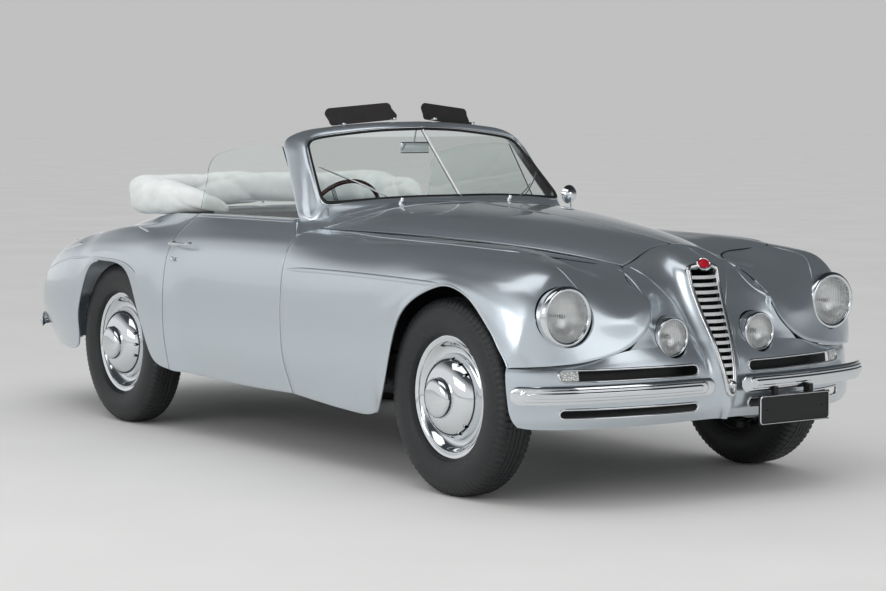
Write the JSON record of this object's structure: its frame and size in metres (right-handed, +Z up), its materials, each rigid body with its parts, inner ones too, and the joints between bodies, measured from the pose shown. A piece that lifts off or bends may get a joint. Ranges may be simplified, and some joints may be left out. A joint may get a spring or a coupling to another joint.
{
  "type": "roadster convertible",
  "caption": "Silver-grey late-1940s coachbuilt cabriolet with a vee windscreen, folded pale hood under its cover, shield grille, opening doors, bonnet and boot, and right-hand drive",
  "frame": {"origin": "on the ground under the middle of the bounding box", "axes": "X forward to the nose, Y to the left side of the car, Z up"},
  "size_m": [4.6692, 1.7718, 1.5037],
  "materials": {
    "body_paint": "gloss",
    "bright_chrome": "polished",
    "clear_glass": "polished",
    "black_steel": "satin",
    "iron_grey": "matte",
    "tyre_rubber": "matte",
    "leather_trim": "satin",
    "hood_cloth": "matte",
    "wood_trim": "satin",
    "lamp_plastic": "gloss",
    "plate_black": "satin",
    "steering_plastic": "gloss"
  },
  "bodies": {
    "body": {"chassis": "black_steel", "floor_pan": "black_steel", "inner_body": "black_steel", "cowl": "body_paint", "nose_panel": "body_paint", "front_apron": "body_paint", "front_wings": "body_paint", "rear_wings": "body_paint", "rear_deck": "body_paint", "windscreen_frame": "body_paint", "windscreen_glass": "clear_glass", "dashboard": "wood_trim", "seats": "leather_trim", "hood_cover": "hood_cloth", "grille": "bright_chrome", "bumpers": "bright_chrome", "headlamps": "bright_chrome", "fog_lamps": "bright_chrome", "tail_lamps": "lamp_plastic", "number_plate": "plate_black", "wipers": "bright_chrome", "sun_visors": "leather_trim", "mirrors": "bright_chrome", "bonnet_hinge": "bright_chrome", "engine": "iron_grey", "rear_axle": "black_steel", "front_suspension": "black_steel", "exhaust": "black_steel", "fuel_tank": "black_steel"},
    "steering_wheel": {"steering_wheel": "steering_plastic"},
    "bonnet_right": {"bonnet_right": "body_paint"},
    "bonnet_left": {"bonnet_left": "body_paint"},
    "door_right": {"door_right": "body_paint", "door_glass_right": "clear_glass"},
    "door_left": {"door_left": "body_paint", "door_glass_left": "clear_glass"},
    "boot_lid": {"boot_lid": "body_paint"},
    "knuckle_right": {"knuckle_right": "black_steel"},
    "knuckle_left": {"knuckle_left": "black_steel"},
    "wheel_front_right": {"wheel_front_right": "bright_chrome", "tyre_front_right": "tyre_rubber"},
    "wheel_front_left": {"wheel_front_left": "bright_chrome", "tyre_front_left": "tyre_rubber"},
    "wheel_rear_right": {"wheel_rear_right": "bright_chrome", "tyre_rear_right": "tyre_rubber"},
    "wheel_rear_left": {"wheel_rear_left": "bright_chrome", "tyre_rear_left": "tyre_rubber"}
  },
  "joints": [
    {"name": "bonnet_right_hinge", "type": "hinge", "parent": "body", "child": "bonnet_right", "pos_m": [1.3225, -0.008, 1.0326], "axis": [-0.9954, 0, 0.0954], "range_deg": [0, 60]},
    {"name": "bonnet_left_hinge", "type": "hinge", "parent": "body", "child": "bonnet_left", "pos_m": [1.3225, 0.008, 1.0326], "axis": [0.9954, 0, -0.0954], "range_deg": [0, 60]},
    {"name": "door_right_hinge", "type": "hinge", "parent": "body", "child": "door_right", "pos_m": [0.489, -0.857, 0.64], "axis": [0, 0, 1], "range_deg": [0, 60]},
    {"name": "door_left_hinge", "type": "hinge", "parent": "body", "child": "door_left", "pos_m": [0.489, 0.857, 0.64], "axis": [0, 0, -1], "range_deg": [0, 60]},
    {"name": "boot_lid_hinge", "type": "hinge", "parent": "body", "child": "boot_lid", "pos_m": [-1.2805, 0, 1.00167], "axis": [0, 1, 0], "range_deg": [0, 50]},
    {"name": "steer_right", "type": "hinge", "parent": "body", "child": "knuckle_right", "pos_m": [1.6225, -0.635, 0.378], "axis": [0, 0, 1], "range_deg": [-30, 30]},
    {"name": "steer_left", "type": "hinge", "parent": "body", "child": "knuckle_left", "pos_m": [1.6225, 0.635, 0.378], "axis": [0, 0, 1], "range_deg": [-30, 30]},
    {"name": "steering_wheel_turn", "type": "hinge", "parent": "body", "child": "steering_wheel", "pos_m": [0.1425, -0.33, 0.985], "axis": [-0.9063, 0, 0.4226], "range_deg": [-420, 420]},
    {"name": "wheel_front_right_spin", "type": "hinge", "parent": "knuckle_right", "child": "wheel_front_right", "pos_m": [1.6225, -0.731, 0.378], "axis": [0, 1, 0], "continuous": true},
    {"name": "wheel_front_left_spin", "type": "hinge", "parent": "knuckle_left", "child": "wheel_front_left", "pos_m": [1.6225, 0.731, 0.378], "axis": [0, 1, 0], "continuous": true},
    {"name": "wheel_rear_right_spin", "type": "hinge", "parent": "body", "child": "wheel_rear_right", "pos_m": [-1.0775, -0.74, 0.378], "axis": [0, 1, 0], "continuous": true},
    {"name": "wheel_rear_left_spin", "type": "hinge", "parent": "body", "child": "wheel_rear_left", "pos_m": [-1.0775, 0.74, 0.378], "axis": [0, 1, 0], "continuous": true}
  ],
  "couplings": [
    {"joint": "steer_left", "follows": "steer_right", "ratio": 1},
    {"joint": "steering_wheel_turn", "follows": "steer_right", "ratio": 14}
  ]
}
